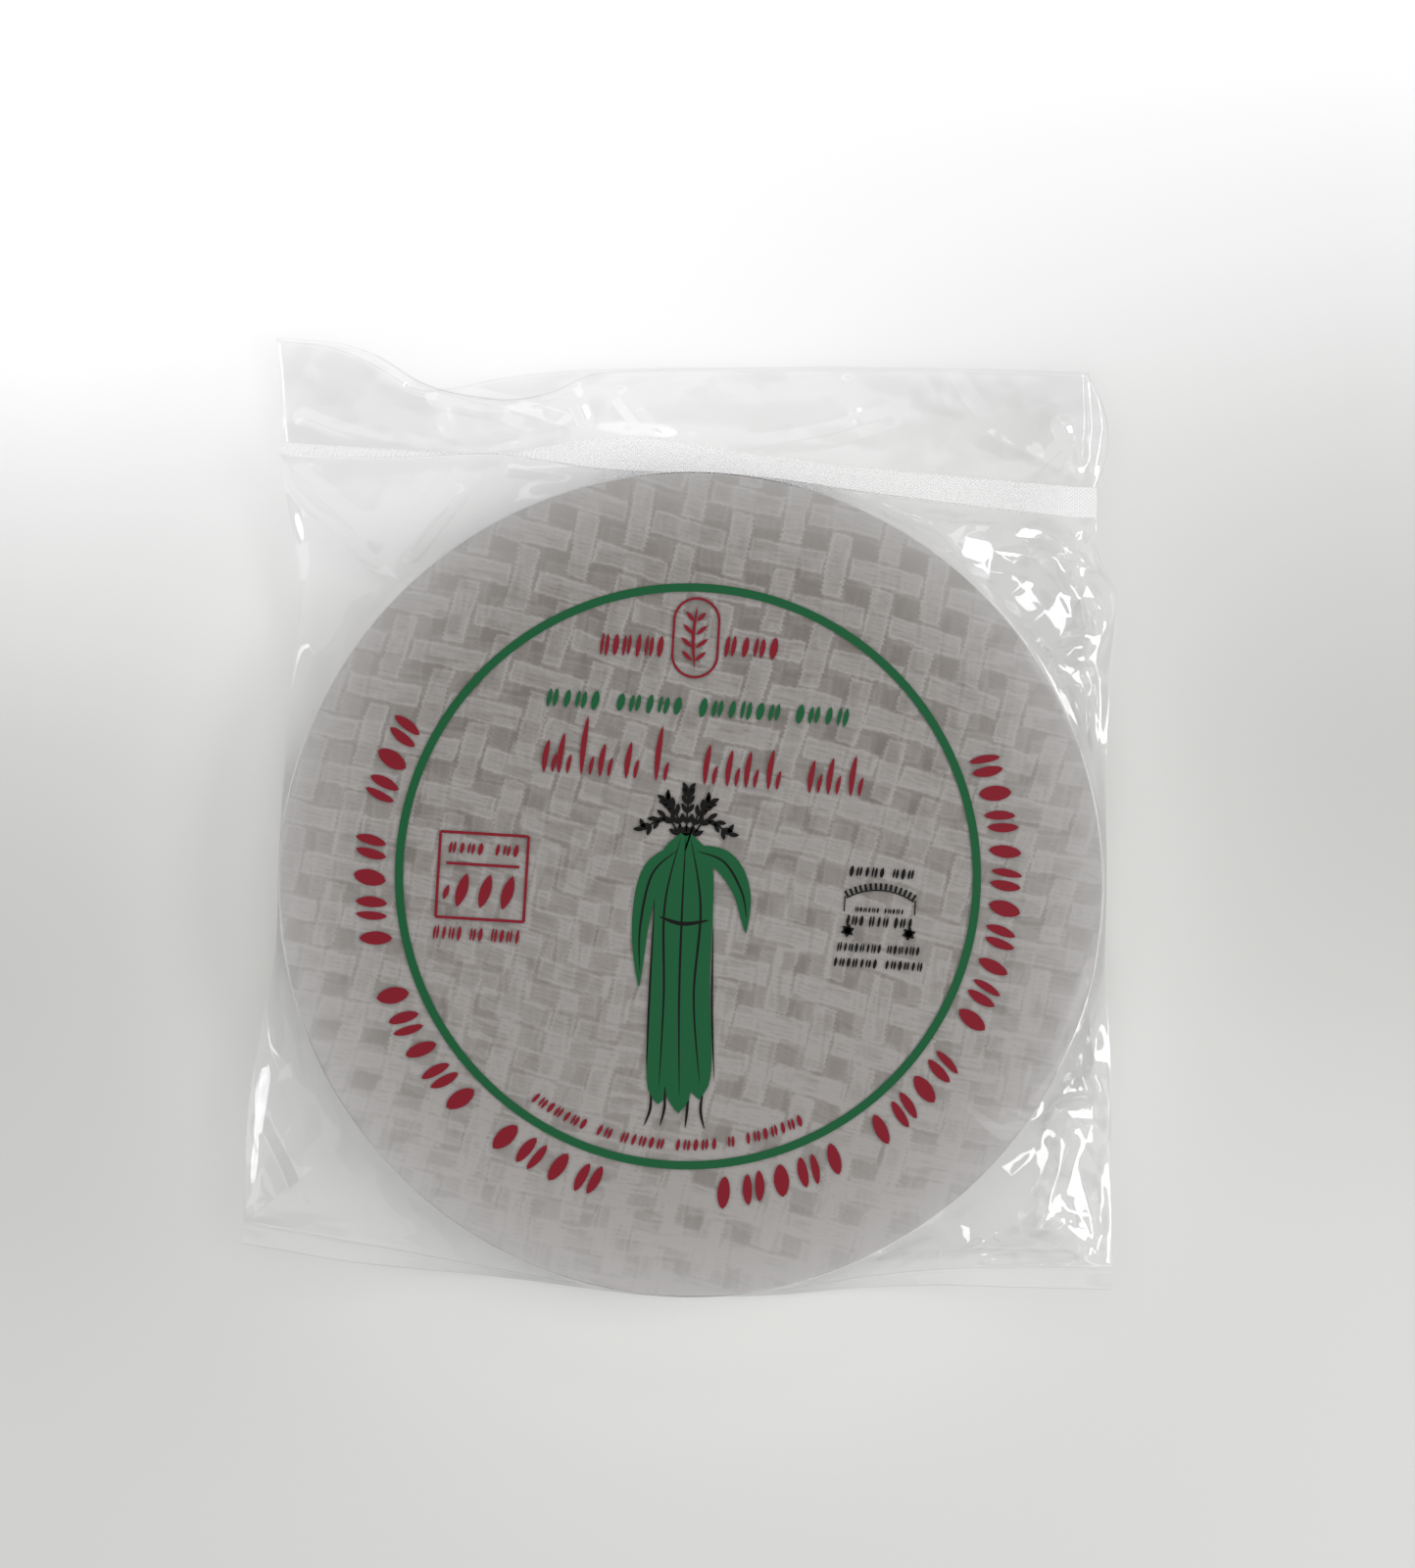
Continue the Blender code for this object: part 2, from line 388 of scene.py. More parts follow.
def build_imprint_group():
    """Vector in millimetres along the weave; gives the bars' mask, their pale rims and the fine rungs."""
    tree = bpy.data.node_groups.new("woven_imprint", "ShaderNodeTree")
    tree.interface.new_socket("Vector", in_out="INPUT", socket_type="NodeSocketVector")
    tree.interface.new_socket("Softness", in_out="INPUT", socket_type="NodeSocketFloat")
    for name in ("Bars", "Rims", "Rungs"):
        tree.interface.new_socket(name, in_out="OUTPUT", socket_type="NodeSocketFloat")
    given = tree.nodes.new("NodeGroupInput")
    result = tree.nodes.new("NodeGroupOutput")
    axes = add_node(tree, "ShaderNodeSeparateXYZ", {0: given.outputs["Vector"]})
    u = wander_axis(tree, axes.outputs["X"], axes.outputs["Y"], 17.0)
    v = wander_axis(tree, axes.outputs["Y"], axes.outputs["X"], 14.0)
    teeth = maths(tree, "SINE", maths(tree, "MULTIPLY", v, 2 * math.pi / RUNG_SPACING))
    notch = maths(tree, "MULTIPLY_ADD", teeth, 0.22, STRIP_WIDTH / 2 - 0.1)
    upright = group_bar(tree, u, v, UPRIGHT_SPACING, LEVEL_SPACING, True, notch)
    level = group_bar(tree, v, u, LEVEL_SPACING, UPRIGHT_SPACING, False)
    fray = add_node(tree, "ShaderNodeTexNoise",
                    {"Vector": given.outputs["Vector"], "Scale": 0.9, "Detail": 2.0})
    uneven = add_node(tree, "ShaderNodeTexNoise",
                      {"Vector": given.outputs["Vector"], "Scale": 0.14, "Detail": 1.0})
    rough = maths(tree, "MULTIPLY_ADD", fray.outputs["Fac"], 1.2, -1.3)
    rough = maths(tree, "MULTIPLY_ADD", uneven.outputs["Fac"], 1.5, rough)
    depth = maths(tree, "ADD", maths(tree, "MAXIMUM", upright, level), rough)
    bars = maths(tree, "ADD", maths(tree, "DIVIDE", depth, given.outputs["Softness"]), 0.5, clamp=True)
    rim = maths(tree, "ABSOLUTE", maths(tree, "SUBTRACT", depth, 0.45))
    rims = maths(tree, "SUBTRACT", 1.0, maths(tree, "DIVIDE", rim, 0.45), clamp=True)
    stretched = add_node(tree, "ShaderNodeMapping",
                         {"Vector": given.outputs["Vector"], "Scale": (0.34, 1.5, 1.0)})
    patches = add_node(tree, "ShaderNodeTexNoise",
                       {"Vector": stretched.outputs[0], "Scale": 0.75, "Detail": 1.5})
    phase = maths(tree, "MULTIPLY_ADD", patches.outputs["Fac"], 5.0,
                  maths(tree, "MULTIPLY", v, 2 * math.pi / RUNG_SPACING))
    ladder = maths(tree, "MULTIPLY_ADD", maths(tree, "SINE", phase), 0.5, 0.5)
    broken = maths(tree, "MULTIPLY_ADD", patches.outputs["Fac"], 4.0, -1.6, clamp=True)
    deep = maths(tree, "DIVIDE", maths(tree, "SUBTRACT", depth, 0.5), 0.8, clamp=True)
    rungs = maths(tree, "MULTIPLY", maths(tree, "MULTIPLY", ladder, broken), deep)
    for name, value in (("Bars", bars), ("Rims", rims), ("Rungs", rungs)):
        tree.links.new(value, result.inputs[name])
    return tree


imprint_group = build_imprint_group()
print("woven_imprint group", len(imprint_group.nodes), "nodes")

# %% [markdown]
# ## Rice paper
#
# A dried sheet is glassy and half clear, so the face shows the top sheet's imprint sharply and the imprints
# of the sheets below it more and more softly, each turned and shifted a little. Three copies of the group
# make that depth. The outer centimetre is painted paler, a painted glow for the light that comes in through
# the stack's edge, and the face is painted darker towards the top and lighter towards the right, painted
# shade for the way the light falls on it.

# %% Rice paper material
GAP_COLOUR = screen_colour(119, 113, 107)
BAR_COLOUR = screen_colour(159, 155, 152)
# Painted glow: the outer band of the face is blended towards this pale colour, for light coming through the
# stack's edge.
EDGE_GLOW_PAINT = screen_colour(204, 203, 203)
EDGE_GLOW_START = 78.0
EDGE_GLOW_WIDTH = 32.0
EDGE_GLOW_RISE = 1.7
EDGE_GLOW_SHARE = 0.44
LAYERS = [("top", 0.0, (0.0, 0.0), 0.7, 0.52), ("second", -5.0, (5.2, 3.9), 1.3, 0.36),
          ("third", 8.0, (2.1, 8.3), 2.2, 0.26)]


def imprint_layer(tree, place, turn, shift, softness):
    turned = add_node(tree, "ShaderNodeMapping", {
        "Vector": place, "Scale": (1 / MM, 1 / MM, 1 / MM),
        "Rotation": (0, 0, WEAVE_TURN + math.radians(turn)),
        "Location": (-WEAVE_START[0] + shift[0], -WEAVE_START[1] + shift[1], 0)})
    layer = tree.nodes.new("ShaderNodeGroup")
    layer.node_tree = imprint_group
    tree.links.new(turned.outputs[0], layer.inputs["Vector"])
    layer.inputs["Softness"].default_value = softness
    return layer


def build_rice_paper():
    material, tree, shader = new_material("rice_paper")
    place = add_node(tree, "ShaderNodeTexCoord").outputs["Object"]
    cloud = add_node(tree, "ShaderNodeTexNoise",
                     {"Vector": place, "Scale": 22.0, "Detail": 2.0}).outputs["Fac"]
    sides = add_node(tree, "ShaderNodeSeparateXYZ", {0: place})
    upper = maths(tree, "MULTIPLY_ADD", sides.outputs["Y"], 1 / (200 * MM), 0.5, clamp=True)
    clear = maths(tree, "MULTIPLY_ADD", cloud, 1.5, maths(tree, "MULTIPLY_ADD", upper, 0.9, -0.75),
                  clamp=True)
    tone = None
    for name, turn, shift, softness, weight in LAYERS:
        layer = imprint_layer(tree, place, turn, shift, softness)
        seen = maths(tree, "MULTIPLY_ADD", layer.outputs["Bars"], 0.80,
                     maths(tree, "MULTIPLY", layer.outputs["Rims"], 0.55))
        seen = maths(tree, "MULTIPLY_ADD", layer.outputs["Rungs"], -0.50, seen)
        share = maths(tree, "MULTIPLY_ADD", clear, weight * 0.7 if name == "top" else -weight * 0.6,
                      weight * (0.55 if name == "top" else 1.2))
        part = maths(tree, "MULTIPLY", seen, share)
        tone = part if tone is None else maths(tree, "ADD", tone, part)
    fibres = add_node(tree, "ShaderNodeMapping", {"Vector": place, "Rotation": (0, 0, WEAVE_TURN),
                                                   "Scale": (900.0, 160.0, 300.0)})
    streak = add_node(tree, "ShaderNodeTexNoise", {"Vector": fibres.outputs[0], "Scale": 1.0, "Detail": 3.0})
    tone = maths(tree, "ADD", tone, maths(tree, "MULTIPLY_ADD", streak.outputs["Fac"], 0.40, 0.0))
    # Painted shade: the face is darker towards the top and lighter towards the right, for how the light falls
    # on it.
    painted_light_slope = maths(tree, "MULTIPLY_ADD", upper, -0.46, 0.12)
    painted_light_slope = maths(tree, "MULTIPLY_ADD", sides.outputs["X"], 0.06 / (100 * MM), painted_light_slope)
    tone = maths(tree, "ADD", tone, painted_light_slope, clamp=True)
    colour = blend_colours(tree, tone, GAP_COLOUR, BAR_COLOUR)
    # Painted glow at the edge of the face, blended in over the outer band.
    radius = add_node(tree, "ShaderNodeVectorMath", {0: place}, operation="LENGTH").outputs["Value"]
    rim = maths(tree, "DIVIDE", maths(tree, "SUBTRACT", radius, EDGE_GLOW_START * MM), EDGE_GLOW_WIDTH * MM, clamp=True)
    rim = maths(tree, "MULTIPLY", maths(tree, "POWER", rim, EDGE_GLOW_RISE), EDGE_GLOW_SHARE)
    colour = blend_colours(tree, rim, colour, EDGE_GLOW_PAINT)
    tree.links.new(colour, shader.inputs["Base Color"])
    tree.links.new(maths(tree, "MULTIPLY_ADD", tone, 0.18, 0.42), shader.inputs["Roughness"])
    shader.inputs["Specular IOR Level"].default_value = 0.35
    relief = add_node(tree, "ShaderNodeBump", {"Height": tone, "Distance": 0.08 * MM, "Strength": 0.15})
    tree.links.new(relief.outputs[0], shader.inputs["Normal"])
    return material


rice_paper = build_rice_paper()

# %% [markdown]
# ## The sheets
#
# The top and bottom sheets carry the imprint as real relief, on a square grid of faces bent into a disc,
# which keeps the faces even where a fan of triangles would crowd at the middle. The thirty-eight sheets
# between show only their edges, so each is a thin drum with a slightly wavy rim, laid a little off its
# neighbours' centre.

# %% Top and bottom sheets
DISC_CELLS = 180
SHEET_THICKNESS = 0.30
SHEET_SWELL = 0.10


def disc_place(s, t):
    """A point of the unit square bent into the unit disc."""
    a, b = 2 * s - 1, 2 * t - 1
    return a * math.sqrt(1 - b * b / 2), b * math.sqrt(1 - a * a / 2)


def relief_sheet(name, height, side, trim):
    shape = bmesh.new()

    def place(s, t):
        x, y = disc_place(s, t)
        x, y = x * (STACK_RADIUS - trim), y * (STACK_RADIUS - trim)
        swell = SHEET_SWELL * noise.noise(Vector((x / 34, y / 34, height)))
        return x, y, height + side * (swell + IMPRINT_DEPTH * (imprint(x, y) - 1))

    lay_grid(shape, DISC_CELLS, DISC_CELLS, place)
    rim = [edge for edge in shape.edges if edge.is_boundary]
    grown = bmesh.ops.extrude_edge_only(shape, edges=rim)["geom"]
    for corner in grown:
        if isinstance(corner, bmesh.types.BMVert):
            corner.co.z = (height - side * SHEET_THICKNESS) * MM
    bmesh.ops.edgeloop_fill(shape, edges=[edge for edge in shape.edges if edge.is_boundary])
    bmesh.ops.recalc_face_normals(shape, faces=shape.faces)
    sheet = add_piece(name, shape, rice_paper)
    sheet.data.set_sharp_from_angle(angle=math.radians(50))
    return sheet


top_sheet = relief_sheet("top_sheet", STACK_TOP - 0.05, 1, 0.4)
bottom_sheet = relief_sheet("bottom_sheet", STACK_FOOT + 0.05, -1, 0.7)

# %% Sheets between
SHEET_SIDES = 128


def middle_sheets():
    shape = bmesh.new()
    chance = random.Random(4)
    for number in range(1, SHEETS - 1):
        height = STACK_FOOT + (number + 0.5) * SHEET_PITCH
        shift = (chance.uniform(-0.35, 0.35), chance.uniform(-0.35, 0.35))
        radius = STACK_RADIUS - 0.45 - chance.random() * 0.5
        corners = bmesh.ops.create_cone(shape, cap_ends=True, segments=SHEET_SIDES, radius1=radius,
                                        radius2=radius,
                                        depth=SHEET_THICKNESS)["verts"]
        for corner in corners:
            turn = math.atan2(corner.co.y, corner.co.x)
            ripple = noise.noise(Vector((3 * math.cos(turn), 3 * math.sin(turn), number * 1.7)))
            frill = noise.noise(Vector((9 * math.cos(turn), 9 * math.sin(turn), number * 0.9)))
            flat = radius + 0.35 * ripple + 0.12 * frill
            corner.co = Vector((flat * math.cos(turn) + shift[0], flat * math.sin(turn) + shift[1],
                                height + corner.co.z + 0.06 * frill)) * MM
    sheets = add_piece("middle_sheets", shape, rice_paper)
    sheets.data.set_sharp_from_angle(angle=math.radians(50))


middle_sheets()

# %% [markdown]
# ## Film
#
# Clear film is a mirror that lets almost everything through: straight on it returns only a few parts in a
# hundred, at a glancing angle far more. A white metal whose Alpha is that share does exactly this, and
# stays simple enough to travel with the model. The share follows Schlick's curve on the Facing value, which
# is the same from both sides of the film; a Fresnel node would turn it opaque from behind. Edge-on, the
# film's mirror colour is painted grey, a painted shade that draws its folds and outline as thin dark lines.

# %% Film materials
FILM_MIRROR = 0.04
FILM_FACES = 1.35
FILM_HAZE = 0.004


def build_film(name, haze, roughness):
    material, tree, shader = new_material(name)
    facing = add_node(tree, "ShaderNodeLayerWeight", {"Blend": 0.5}).outputs["Facing"]
    glance = maths(tree, "MULTIPLY_ADD", maths(tree, "POWER", facing, 4.0), 1 - FILM_MIRROR, FILM_MIRROR)
    tree.links.new(maths(tree, "MULTIPLY_ADD", glance, FILM_FACES, haze, clamp=True), shader.inputs["Alpha"])
    # Painted shade: the mirror colour turns grey where film is seen edge-on, drawing folds and outlines as
    # dark lines.
    painted_edge_shade = maths(tree, "POWER", facing, 2.5)
    tree.links.new(blend_colours(tree, painted_edge_shade, screen_colour(250, 250, 253), screen_colour(118, 117, 118)),
                   shader.inputs["Base Color"])
    shader.inputs["Metallic"].default_value = 1.0
    shader.inputs["Roughness"].default_value = roughness
    return material


clear_film = build_film("clear_film", FILM_HAZE, 0.035)

# %% [markdown]
# ## The bag's outline
#
# Four edges bound the pouch that holds the stack: the sealed band above, a fold down each side and the weld
# at the foot. Each is a smooth curve through a few places where the bag really bends. The band is a stiff
# ribbon that leans over the stack's rim and twists almost edge-on left of the middle, so it has a lean of
# its own.

# %% Edges of the pouch
BAND_WIDTH = 9.4
BAND_LEFT, BAND_RIGHT = -117.0, 102.8
BAND_LINE = [(-117, 110.2), (-87, 110.7), (-60, 112.2), (-24, 114.2), (8, 113.5), (45, 111.0), (95, 108.9),
             (103, 109.0)]
BAND_LEAN = [(-117, 64), (-87, 73), (-60, 85), (-45, 60), (-24, 20), (8, 47), (45, 41), (95, 26), (103, 26)]
BAND_HEIGHT = [(-117, 8.0), (-60, 9.0), (0, 10.0), (60, 9.5), (103, 8.0)]
RIGHT_FOLD = [(102.8, 104.8), (104.2, 95.2), (109.6, 85.0), (110.2, 75.8), (109.6, 60.0), (109.8, 38.0),
              (111.8, 7.4),
              (113.2, -18.9), (116.2, -45.0), (117.7, -71.0), (119.8, -96.4)]
FOOT_WELD = [(119.8, -96.4), (84.0, -98.6), (56.0, -102.5), (28.0, -108.6), (0.0, -111.3), (-28.0, -109.2),
             (-60.0, -105.2), (-114.8, -98.4)]
LEFT_FOLD = [(-114.8, -98.4), (-115.5, -72.5), (-113.8, -48.6), (-110.9, -25.0), (-111.4, 2.0),
             (-111.6, 30.0),
             (-110.6, 56.0), (-111.3, 80.0), (-115.5, 99.0), (-117.0, 108.6)]
FOLD_HEIGHT = 7.5


def band_place(x, across):
    """A point of the sealed band: across runs from -0.5 at the pouch to 0.5 at the header."""
    lean = math.radians(follow(BAND_LEAN, x))
    y = follow(BAND_LINE, x) + across * BAND_WIDTH * math.cos(lean)
    return Vector((x, y, follow(BAND_HEIGHT, x) - across * BAND_WIDTH * math.sin(lean)))


def pouch_edge(share):
    """A point of the pouch's outline, clockwise from the band's left end."""
    side, along = divmod(min(share, 0.999999) * 4, 1)
    if side == 0:
        return band_place(BAND_LEFT + (BAND_RIGHT - BAND_LEFT) * along, -0.5)
    x, y = curve_point((RIGHT_FOLD, FOOT_WELD, LEFT_FOLD)[int(side) - 1], along)
    wave = noise.noise(Vector((x / 26, y / 26, 3.1)))
    ends = min(along, 1 - along) * 8
    if side == 1:
        height = follow([(0, band_place(BAND_RIGHT, -0.5).z), (0.12, FOLD_HEIGHT), (1, FOLD_HEIGHT)], along)
    elif side == 3:
        height = follow([(0, FOLD_HEIGHT), (0.88, FOLD_HEIGHT), (1, band_place(BAND_LEFT, -0.5).z)], along)
    else:
        height = FOLD_HEIGHT
    return Vector((x, y, height + 2.2 * wave * min(1.0, ends)))


print("pouch corners", [tuple(round(c) for c in pouch_edge(quarter / 4)) for quarter in range(4)])

# %% [markdown]
# ## How film crumples
#
# Film bends but doesn't stretch, so it dents in shallow cones with straight sharp ridges between them. The
# distance to scattered points has just that shape. On top of it come the few long folds that give this bag
# its look: each is a broken line with a height and a reach, a ridge where the height is positive and a
# groove where it is negative.

# %% Dents and folds
LONG_FOLDS = [
    ([(72, 94), (92, 93), (106, 90)], 2.6, 5.0),
    ([(90, 96), (100, 83), (104, 77)], 2.2, 4.0),
    ([(104, 76), (96, 66)], 1.8, 5.0),
    ([(88, 67), (101, 70)], 1.6, 3.0),
    ([(88, 67), (102, 63)], 1.8, 3.0),
    ([(88, 66), (100, 55), (103, 47), (106, 37), (109, 20)], 2.4, 4.0),
    ([(103, 64), (105, 57), (107, 50), (108, 38)], 1.6, 2.5),
    ([(112, -16), (105, -32), (98, -45), (86, -59)], 2.6, 4.5),
    ([(114, -18), (109, -30), (107, -43), (111, -50)], 2.2, 3.5),
    ([(86, -60), (96, -56), (105, -49), (112, -49)], 2.4, 3.5),
    ([(103, -62), (112, -58), (118, -66)], 2.2, 5.0),
    ([(105, -64), (99, -86)], 2.4, 4.0),
    ([(98, -86), (88, -92)], 1.4, 3.0),
    ([(98, -86), (105, -81), (116, -84)], 2.4, 4.0),
    ([(98, -86), (109, -88), (117, -93)], 2.2, 4.0),
    ([(68, -98), (75, -96), (84, -92)], 0.9, 2.0),
    ([(93, 102), (105, 95)], 2.0, 4.0),
    ([(-111, 101), (-92, 87)], 1.2, 5.0),
    ([(-80, 84), (-69, 100)], 1.3, 3.0),
    ([(-112, -72), (-105, -84), (-99, -96)], 1.3, 3.5),
    ([(-101, -50), (-98, -62), (-96, -78)], 0.9, 3.5),
    ([(-109, -30), (-106, -48), (-108, -60)], 0.9, 4.0),
    ([(-55, 108), (-32, 107), (-17, 110)], 1.0, 2.5),
]


def facets(x, y, size, layer):
    """Flat triangles with corners at chance heights, from 0 to 1, on a lattice of the given size."""
    skew = (x + y) * 0.366
    across, along = (x + skew) / size, (y + skew) / size
    column, line = math.floor(across), math.floor(along)
    a, b = across - column, along - line
    far = (column + 1, line) if a > b else (column, line + 1)
    corners = ((column, line, 1 - max(a, b)), (*far, abs(a - b)), (column + 1, line + 1, min(a, b)))
    return sum(share * noise.cell(Vector((i + 0.5, j + 0.5, layer + 0.5))) for i, j, share in corners)


def dents(x, y, layer):
    """Flat facets, shallow cones and straight ridges, in mm, the same for the same place and layer."""
    here = Vector((x, y, layer * 17.0))
    bend_x, bend_y = noise.noise(here / 30), noise.noise(here / 30 + Vector((9, 9, 9)))
    cones = noise.voronoi(here / 23 + Vector((bend_x, bend_y, 0)) * 0.5)[0][0] - 0.45
    x, y = x + 7 * bend_x, y + 7 * bend_y
    large = facets(x * 0.9 + y * 0.4, y * 0.9 - x * 0.4, 21.0, layer) - 0.5
    small = facets(x, y, 8.0, layer + 40) - 0.5
    return 2.6 * cones + 5.0 * large + 1.5 * small


def line_distance(x, y, start, stop):
    """Distance from a point to a straight run, and how far along the run the nearest place is."""
    run_x, run_y = stop[0] - start[0], stop[1] - start[1]
    along = ((x - start[0]) * run_x + (y - start[1]) * run_y) / (run_x * run_x + run_y * run_y)
    along = min(1.0, max(0.0, along))
    return math.hypot(x - start[0] - along * run_x, y - start[1] - along * run_y)


def long_folds(x, y, folds):
    height = 0.0
    for points, rise, reach in folds:
        away = min(line_distance(x, y, start, stop) for start, stop in zip(points, points[1:]))
        if away < reach:
            height += rise * (1 - away / reach)
    return height


def crispness(x):
    """The left of the bag lies calm and the right is crumpled."""
    return 0.16 + 0.84 * ease(-20, 90, x)


# %% [markdown]
# ## The pouch
#
# Each film of the pouch is one grid wrapped round the stack: rings from the middle of the face to its rim,
# then from the rim out to the sealed edges. The film leaves the rim almost straight, as a tent's side does,
# and the dents fade out at the rim and at the seal, which hold it taut.

# %% Pouch films
POUCH_AROUND = 1120
POUCH_RINGS = 76
FACE_SHARE = 0.14
TENT_CURVE = 1.25
HOLD = 6.0
FOLD_ROUND = 0.8
RIM_FOLDS = [([(109, -16), (105, -31), (99, -43), (91, -54), (86, -59)], 1.5, 3.4),
             ([(86, -59), (95, -57), (106, -50)], 1.3, 2.8), ([(103, 44), (97, 56), (88, 67)], 1.2, 2.6),
             ([(52, 93), (57, 95), (63, 86), (66, 82)], 0.35, 1.2), ([(76, 76), (74, 68)], 0.3, 1.1)]


def folded(s):
    """1 along the two side folds, 0 along the band and the weld."""
    away = abs((s * 2 + 0.25) % 1 - 0.5)
    return ease(0.0, 0.04, 0.25 - away)


def pouch_place(side):
    face = STACK_TOP + FILM_GAP - 0.05 if side > 0 else STACK_FOOT - FILM_GAP + 0.08
    layer = 1 if side > 0 else 2

    def place(s, t):
        edge = pouch_edge(s)
        reach = math.hypot(edge.x, edge.y)
        rim = Vector((edge.x, edge.y, 0)) * (STACK_RADIUS / reach)
        if t <= FACE_SHARE:
            radius = 1 - (1 - t / FACE_SHARE) ** 2.6
            x, y = rim.x * radius, rim.y * radius
            return x, y, face + (long_folds(x, y, RIM_FOLDS) if side > 0 and radius > 0.85 else 0.0)
        share = (t - FACE_SHARE) / (1 - FACE_SHARE)
        share = 0.5 * share + 0.25 - 0.25 * math.cos(math.pi * share)
        x = rim.x + (edge.x - rim.x) * share
        y = rim.y + (edge.y - rim.y) * share
        gap = reach - STACK_RADIUS
        z = edge.z + (face - edge.z) * (1 - share) ** TENT_CURVE
        held = ease(0, HOLD, gap * share) * ease(0, HOLD, gap * (1 - share))
        crumple = dents(x, y, layer) * crispness(x)
        if side > 0:
            crumple += long_folds(x, y, LONG_FOLDS)
            z += long_folds(x, y, RIM_FOLDS) * ease(0, 2.5, gap * (1 - share))
        z += held * crumple
        inward = FOLD_ROUND - min(FOLD_ROUND, gap * (1 - share))
        z += side * folded(s) * (math.sqrt(FOLD_ROUND ** 2 - inward ** 2) - FOLD_ROUND * (1 - share))
        if side < 0:
            z = max(z, face)
        return x, y, z

    return place


def build_pouch(name, side):
    shape = bmesh.new()
    lay_grid(shape, POUCH_AROUND, POUCH_RINGS, pouch_place(side))
    bmesh.ops.remove_doubles(shape, verts=shape.verts, dist=0.002 * MM)
    bmesh.ops.recalc_face_normals(shape, faces=shape.faces)
    middle = min(shape.faces, key=lambda face: face.calc_center_median().xy.length)
    if middle.normal.z * side < 0:
        bmesh.ops.reverse_faces(shape, faces=shape.faces)
    return add_piece(name, shape, clear_film)


pouch_front = build_pouch("pouch_front", 1)
pouch_back = build_pouch("pouch_back", -1)
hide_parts("bag")


# %% [markdown]
# ## The sealed band
#
# Two hot knurled jaws press the films together in a ribbon of fine rows. The rows are real relief, broken
# along their length, and the pressed film has gone milky, so the band is the one part of the bag that isn't
# clear.

# %% Sealed band
BAND_STEPS = 560
BAND_ROWS = 8
ROW_RELIEF = 0.14
DASH_SPACING = 1.3


def band_relief(x, across):
    """Height of the pressed rows, in mm, at a place along and across the band."""
    row = (across + 0.5) * BAND_ROWS
    ridge = abs(math.sin(math.pi * row))
    dash = 0.5 + 0.5 * math.sin(2 * math.pi * x / DASH_SPACING + (math.pi if int(row) % 2 else 0.0))
    return ROW_RELIEF * (ridge - 0.55 * dash)


def build_band():
    material, tree, shader = new_material("pressed_film")
    place = add_node(tree, "ShaderNodeUVMap", uv_map="band").outputs[0]
    axes = add_node(tree, "ShaderNodeSeparateXYZ", {0: place})
    rows = maths(tree, "SINE", maths(tree, "MULTIPLY", axes.outputs["Y"], 2 * math.pi * BAND_ROWS))
    dashes = maths(tree, "SINE", maths(tree, "MULTIPLY", axes.outputs["X"], 2 * math.pi / DASH_SPACING))
    press = maths(tree, "MULTIPLY_ADD", maths(tree, "MULTIPLY", rows, dashes), 0.5, 0.5)
    ends = maths(tree, "DIVIDE", maths(tree, "SUBTRACT", axes.outputs["X"], BAND_RIGHT - 22), 14.0,
                 clamp=True)
    milk = maths(tree, "ADD", maths(tree, "MULTIPLY_ADD", press, 0.26, 0.10),
                 maths(tree, "MULTIPLY", ends, 0.14))
    tree.links.new(milk, shader.inputs["Alpha"])
    shader.inputs["Base Color"].default_value = screen_colour(246, 246, 248)
    shader.inputs["Roughness"].default_value = 0.28
    shape = bmesh.new()
    sheet = shape.loops.layers.uv.new("band")

    def band(s, t):
        x = BAND_LEFT + (BAND_RIGHT - BAND_LEFT) * s
        lean = math.radians(follow(BAND_LEAN, x))
        rise = band_relief(x, t - 0.5) * ease(0, 0.06, min(t, 1 - t))
        return band_place(x, t - 0.5) + Vector((0, math.sin(lean), math.cos(lean))) * rise

    lay_grid(shape, BAND_STEPS, 32, band)
    shape.verts.ensure_lookup_table()
    across_count = BAND_STEPS + 1
    for face in shape.faces:
        for loop in face.loops:
            row, column = divmod(loop.vert.index, across_count)
            loop[sheet].uv = (loop.vert.co.x / MM, row / 32)
    return add_piece("sealed_band", shape, material)


sealed_band = build_band()

# %% [markdown]
# ## The header
#
# Above the band the two films are free. They hang together like a collar, the front one folded down in a
# dip on the left and the right end turned back on itself. Both are grids from the band's upper edge to the
# open edge.

